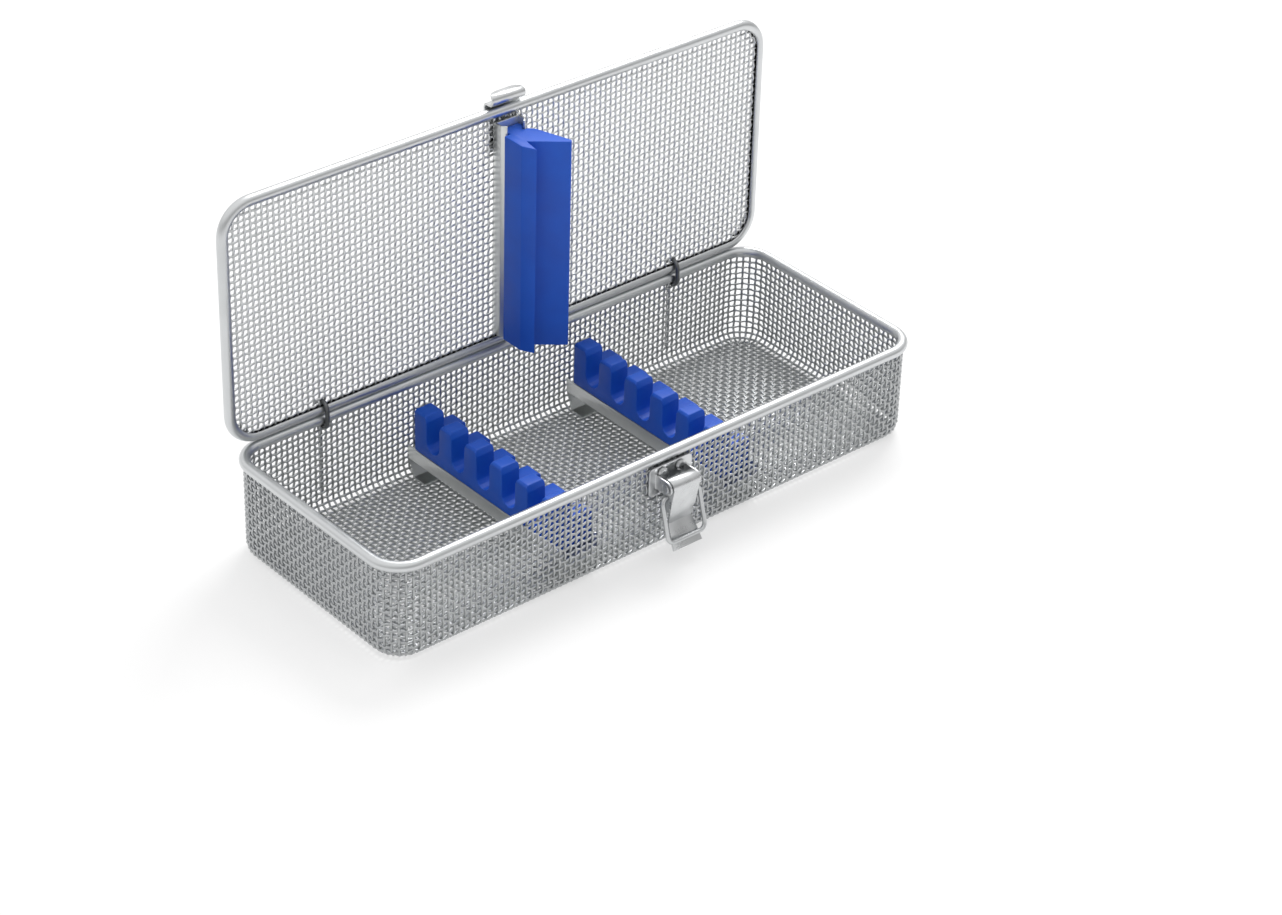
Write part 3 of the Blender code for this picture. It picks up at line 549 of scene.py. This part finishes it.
def tumbled_steel():
    """Pressed stainless sheet, tumbled: light satin with fine dents and brighter rubbed places."""
    rubbed_width, dent_width = 5.56 * MM, 1.43 * MM
    material, tree, shader, place = start_material("tumbled_stainless_sheet", "#C9CBCC", 1.0, 0.28)
    rubbed = add_node(tree, "ShaderNodeTexNoise", {"Scale": 1 / rubbed_width, "Detail": 3.0},
                      {"Vector": place})
    tone = add_node(tree, "ShaderNodeMix",
                    {"data_type": "RGBA", 6: from_hex("#C0C2C3"), 7: from_hex("#DEDFE0")},
                    {0: rubbed.outputs["Fac"]})
    tree.links.new(tone.outputs[2], shader.inputs["Base Color"])
    dents = add_node(tree, "ShaderNodeTexVoronoi", {"Scale": 1 / dent_width}, {"Vector": place})
    bump = add_node(tree, "ShaderNodeBump", {"Strength": 0.2, "Distance": 0.1 * MM},
                    {"Height": dents.outputs["Distance"]})
    tree.links.new(bump.outputs["Normal"], shader.inputs["Normal"])
    rough = add_node(tree, "ShaderNodeMapRange", {"To Min": 0.2, "To Max": 0.38},
                     {"Value": rubbed.outputs["Fac"]})
    tree.links.new(rough.outputs["Result"], shader.inputs["Roughness"])
    return material


pressed_finish = tumbled_steel()
wire_finish = drawn_wire_steel("bright_drawn_wire", "#B6B8B9", "#D6D8D9")
for node, body in (("latch_base_plate", "tray"), ("latch_backing_plate", "tray"),
                   ("latch_lever", "lever")):
    pressing = softened_copy(node + "_pressing", node, sheet_edge)
    pressing.data.materials.append(pressed_finish)
    hand_over(pressing, body, "pressed_sheet", node)
for node, finish in [("latch_rivet_%d" % number, pressed_finish) for number in range(1, 5)] + [
        ("latch_pivot_pin", wire_finish)]:
    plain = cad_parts[node].data.materials
    plain.clear()
    plain.append(finish)

# Latch bail. Real piece: bright wire bent into a frame, its two ends sprung into the lever's
# cheeks, that swings up over the hook.
bail_wire = 2 * MM
bail_pivot = Vector((0, -64.9 * MM, 32 * MM))
bail_tip_x, bail_leg_x, bail_length = 5.5 * MM, 10.5 * MM, 20.85 * MM
bail_lean = math.radians(16)
bail_way = Vector((0, -math.sin(bail_lean), -math.cos(bail_lean)))
bail_line = [bail_pivot + Vector((side * x, 0, 0)) + bail_way * reach for side, x, reach in
             ((1, bail_tip_x, 0), (1, bail_leg_x, 0), (1, bail_leg_x, bail_length),
              (-1, bail_leg_x, bail_length), (-1, bail_leg_x, 0), (-1, bail_tip_x, 0))]
bail = grow("latch_bail_wire", line_mesh("latch_bail_wire", bail_line), bent,
            {"Diameter": bail_wire, "Corner radius": bent_corner, "Sides": bent_sides,
             "Finish": wire_finish})
hand_over(bail, "bail", "bright_wire", "latch_bail")

# Catch plate. Real piece: a strip of pressed sheet that clips over the lid's front rim and ends
# in an upturned hook for the bail.
catch = softened_copy("catch_plate_pressing", "catch_plate", sheet_edge)
catch.data.materials.append(pressed_finish)
hand_over(catch, "lid", "pressed_sheet", "catch_plate")

# Hold-down channel and comb rails. Real piece: satin stainless sheet folded into channels. The
# channel hangs under the lid, the rails stand on their sloping feet on the floor.


def satin_sheet_steel():
    """Satin stainless sheet: fine rolling lines along Y, soft grey sheen."""
    # The rolling lines are drawn as coarse as they need to show
    line_width, sheen_width = 0.4 * MM, 14.3 * MM
    material, tree, shader, place = start_material("satin_stainless_sheet", "#C6C8C8", 1.0, 0.32)
    stretch = add_node(tree, "ShaderNodeMapping", {"Scale": (1.0, 0.03, 1.0)}, {"Vector": place})
    lines = add_node(tree, "ShaderNodeTexNoise", {"Scale": 1 / line_width, "Detail": 2.0},
                     {"Vector": stretch.outputs[0]})
    sheen = add_node(tree, "ShaderNodeTexNoise", {"Scale": 1 / sheen_width, "Detail": 2.0},
                     {"Vector": place})
    tone = add_node(tree, "ShaderNodeMix",
                    {"data_type": "RGBA", 6: from_hex("#CACCCB"), 7: from_hex("#E4E6E5")},
                    {0: sheen.outputs["Fac"]})
    tree.links.new(tone.outputs[2], shader.inputs["Base Color"])
    bump = add_node(tree, "ShaderNodeBump", {"Strength": 0.15, "Distance": 0.05 * MM},
                    {"Height": lines.outputs["Fac"]})
    tree.links.new(bump.outputs["Normal"], shader.inputs["Normal"])
    rough = add_node(tree, "ShaderNodeMapRange", {"To Min": 0.26, "To Max": 0.4},
                     {"Value": lines.outputs["Fac"]})
    tree.links.new(rough.outputs["Result"], shader.inputs["Roughness"])
    return material


satin_finish = satin_sheet_steel()
for node, body in (("hold_down_channel", "lid"), ("comb_rail_left", "tray"),
                   ("comb_rail_right", "tray")):
    folded = softened_copy(node + "_sheet", node, sheet_edge)
    folded.data.materials.append(satin_finish)
    hand_over(folded, body, "rail_sheet", node)

# Hold-down and combs. Real piece: blue silicone, moulded, with soft edges and a satin skin. The
# strip slides into the channel, the combs clip between the lips of the rails.
moulded_edge, moulded_segments, moulded_sharp = 0.45 * MM, 3, 20


def moulded_silicone():
    """Moulded silicone: deep blue, satin skin with a fine mould grain and slightly paler bloom."""
    # The mould grain is drawn as coarse as it needs to show
    bloom_width, grain_width = 18.2 * MM, 0.625 * MM
    material, tree, shader, place = start_material("moulded_blue_silicone", "#0A50BE", 0.0, 0.5)
    bloom = add_node(tree, "ShaderNodeTexNoise", {"Scale": 1 / bloom_width, "Detail": 4.0},
                     {"Vector": place})
    tone = add_node(tree, "ShaderNodeMix",
                    {"data_type": "RGBA", 6: from_hex("#0845AE"), 7: from_hex("#0C5CD0")},
                    {0: bloom.outputs["Fac"]})
    tree.links.new(tone.outputs[2], shader.inputs["Base Color"])
    grain = add_node(tree, "ShaderNodeTexNoise", {"Scale": 1 / grain_width, "Detail": 2.0},
                     {"Vector": place})
    bump = add_node(tree, "ShaderNodeBump", {"Strength": 0.15, "Distance": 0.08 * MM},
                    {"Height": grain.outputs["Fac"]})
    tree.links.new(bump.outputs["Normal"], shader.inputs["Normal"])
    rough = add_node(tree, "ShaderNodeMapRange", {"To Min": 0.42, "To Max": 0.6},
                     {"Value": bloom.outputs["Fac"]})
    tree.links.new(rough.outputs["Result"], shader.inputs["Roughness"])
    shader.inputs["Subsurface Weight"].default_value = 0.08
    shader.inputs["Subsurface Radius"].default_value = (0.4, 0.7, 1.6)
    shader.inputs["Subsurface Scale"].default_value = 1.2 * MM
    return material


silicone_finish = moulded_silicone()
for node, body in (("hold_down_silicone", "lid"), ("comb_left", "tray"), ("comb_right", "tray")):
    moulding = softened_copy(node + "_moulding", node, moulded_edge, moulded_segments,
                             moulded_sharp)
    moulding.data.materials.append(silicone_finish)
    hand_over(moulding, body, "blue_silicone", node)

# Floor. Plain pale paper that takes the shadow. Part of its white is light of its own, but only
# towards the camera and in reflections, so it lights nothing.
paper_half = 6.0
paper_white_share = 0.55
cloud_width = 333 * MM
floor_mesh = bpy.data.meshes.new("studio_floor")
floor_mesh.from_pydata([(x * paper_half, y * paper_half, 0)
                        for x, y in ((-1, -1), (1, -1), (1, 1), (-1, 1))], [], [(0, 1, 2, 3)])
studio_floor = put_in_scene("studio_floor", floor_mesh)
paper, tree, shader, place = start_material("pale_paper_floor", "#F8F8F8", 0.0, 0.9)
clouds = add_node(tree, "ShaderNodeTexNoise", {"Scale": 1 / cloud_width, "Detail": 2.0},
                  {"Vector": place})
tone = add_node(tree, "ShaderNodeMix",
                {"data_type": "RGBA", 6: from_hex("#F6F6F6"), 7: from_hex("#FAFAFA")},
                {0: clouds.outputs["Fac"]})
tree.links.new(tone.outputs[2], shader.inputs["Base Color"])
rays = add_node(tree, "ShaderNodeLightPath").outputs
shown = rays["Is Camera Ray"]
for kind in ("Is Glossy Ray", "Is Transmission Ray"):
    shown = add_node(tree, "ShaderNodeMath", {"operation": "MAXIMUM"},
                     {0: shown, 1: rays[kind]}).outputs[0]
part = add_node(tree, "ShaderNodeMath", {"operation": "MULTIPLY", 1: paper_white_share}, {0: shown})
white = add_node(tree, "ShaderNodeEmission", {"Color": (1, 1, 1, 1), "Strength": 1.0})
blend = add_node(tree, "ShaderNodeMixShader", {}, {0: part.outputs[0], 1: shader.outputs[0],
                                                   2: white.outputs[0]})
tree.links.new(blend.outputs[0], tree.nodes["Material Output"].inputs["Surface"])
floor_mesh.materials.append(paper)

# Light. The world is a soft dome, white overhead and behind, pale grey low down in front, so that
# polished metal has something to show. One softbox behind on the right gives the rims their line.
dome_low, dome_high = 0.43, 1.0
dome_starts, dome_ends = -0.15, 0.75
dome_axis = (0.0, 0.3, 0.954)
softbox_place, softbox_aim = Vector((0.6, 0.35, 0.95)), Vector((0, 0, 0.05))
softbox_size, softbox_power = 0.5, 8.0
world = bpy.data.worlds.new("soft_studio")
bpy.context.scene.world = world
world.use_nodes = True
tree = world.node_tree
tree.nodes.clear()
direction = add_node(tree, "ShaderNodeTexCoord")
facing = add_node(tree, "ShaderNodeVectorMath", {"operation": "DOT_PRODUCT", 1: dome_axis},
                  {0: direction.outputs["Generated"]})
glow = add_node(tree, "ShaderNodeMapRange",
                {"interpolation_type": "SMOOTHSTEP", "From Min": dome_starts,
                 "From Max": dome_ends, "To Min": dome_low, "To Max": dome_high},
                {"Value": facing.outputs["Value"]})
sky = add_node(tree, "ShaderNodeBackground", {"Color": (1, 1, 1, 1)},
               {"Strength": glow.outputs["Result"]})
add_node(tree, "ShaderNodeOutputWorld", {}, {"Surface": sky.outputs[0]})
lamp = bpy.data.lights.new("key_softbox", "AREA")
lamp.size = softbox_size
lamp.energy = softbox_power
softbox = put_in_scene("key_softbox", lamp)
softbox.location = softbox_place
softbox.rotation_euler = (softbox_aim - softbox_place).to_track_quat("-Z", "Y").to_euler()

# Camera at the photograph's angle. Distances are in lengths of the tray.
photo_width, focal_pixels = 1282, 3399
tray_length = 0.3
camera_distance, camera_right, camera_up = 5.049, 0.0861, 0.0479
azimuth, elevation, roll = math.radians(-41.56), math.radians(32.97), math.radians(1.91)
camera = bpy.data.cameras.new("photo_camera")
camera.sensor_width = 36.0
camera.lens = focal_pixels / photo_width * camera.sensor_width
camera.clip_end = 20.0
viewer = put_in_scene("photo_camera", camera)
back = Vector((math.sin(azimuth) * math.cos(elevation), -math.cos(azimuth) * math.cos(elevation),
               math.sin(elevation)))
right = Vector((math.cos(azimuth), math.sin(azimuth), 0))
up = back.cross(right)
spot = (back * camera_distance * tray_length + right * camera_right * tray_length
        + up * camera_up * tray_length)
level_right = right * math.cos(roll) + up * math.sin(roll)
level_up = up * math.cos(roll) - right * math.sin(roll)
turn = Matrix((level_right, level_up, back)).transposed().to_4x4()
viewer.matrix_world = Matrix.Translation(spot) @ turn
bpy.context.scene.camera = viewer
bpy.context.scene.view_settings.view_transform = "Standard"
